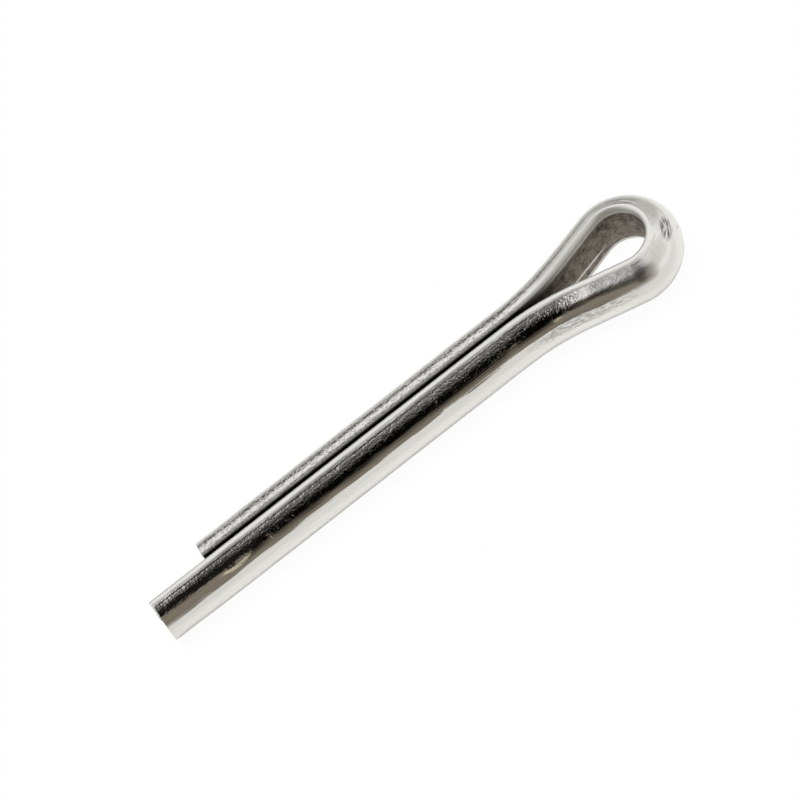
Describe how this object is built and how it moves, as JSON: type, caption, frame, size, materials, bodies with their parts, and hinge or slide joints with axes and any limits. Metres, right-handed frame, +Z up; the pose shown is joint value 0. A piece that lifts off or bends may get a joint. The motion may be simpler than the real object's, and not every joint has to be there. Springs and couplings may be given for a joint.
{
  "type": "cotter pin",
  "caption": "Cotter pin of half-round steel wire folded flat to flat into a round shank, with a teardrop eye and legs of unequal length, to lock a nut or pin.",
  "frame": {"origin": "middle of the pin's box, on the surface that it lies on", "axes": "+X along the shank towards the free ends, +Y from the short leg to the long leg, +Z up through the eye"},
  "size_m": [0.0286, 0.0054, 0.0028],
  "materials": {
    "steel_wire": "bright drawn and tumbled steel"
  },
  "bodies": {
    "root": {"cotter_pin": "steel_wire"}
  },
  "joints": []
}
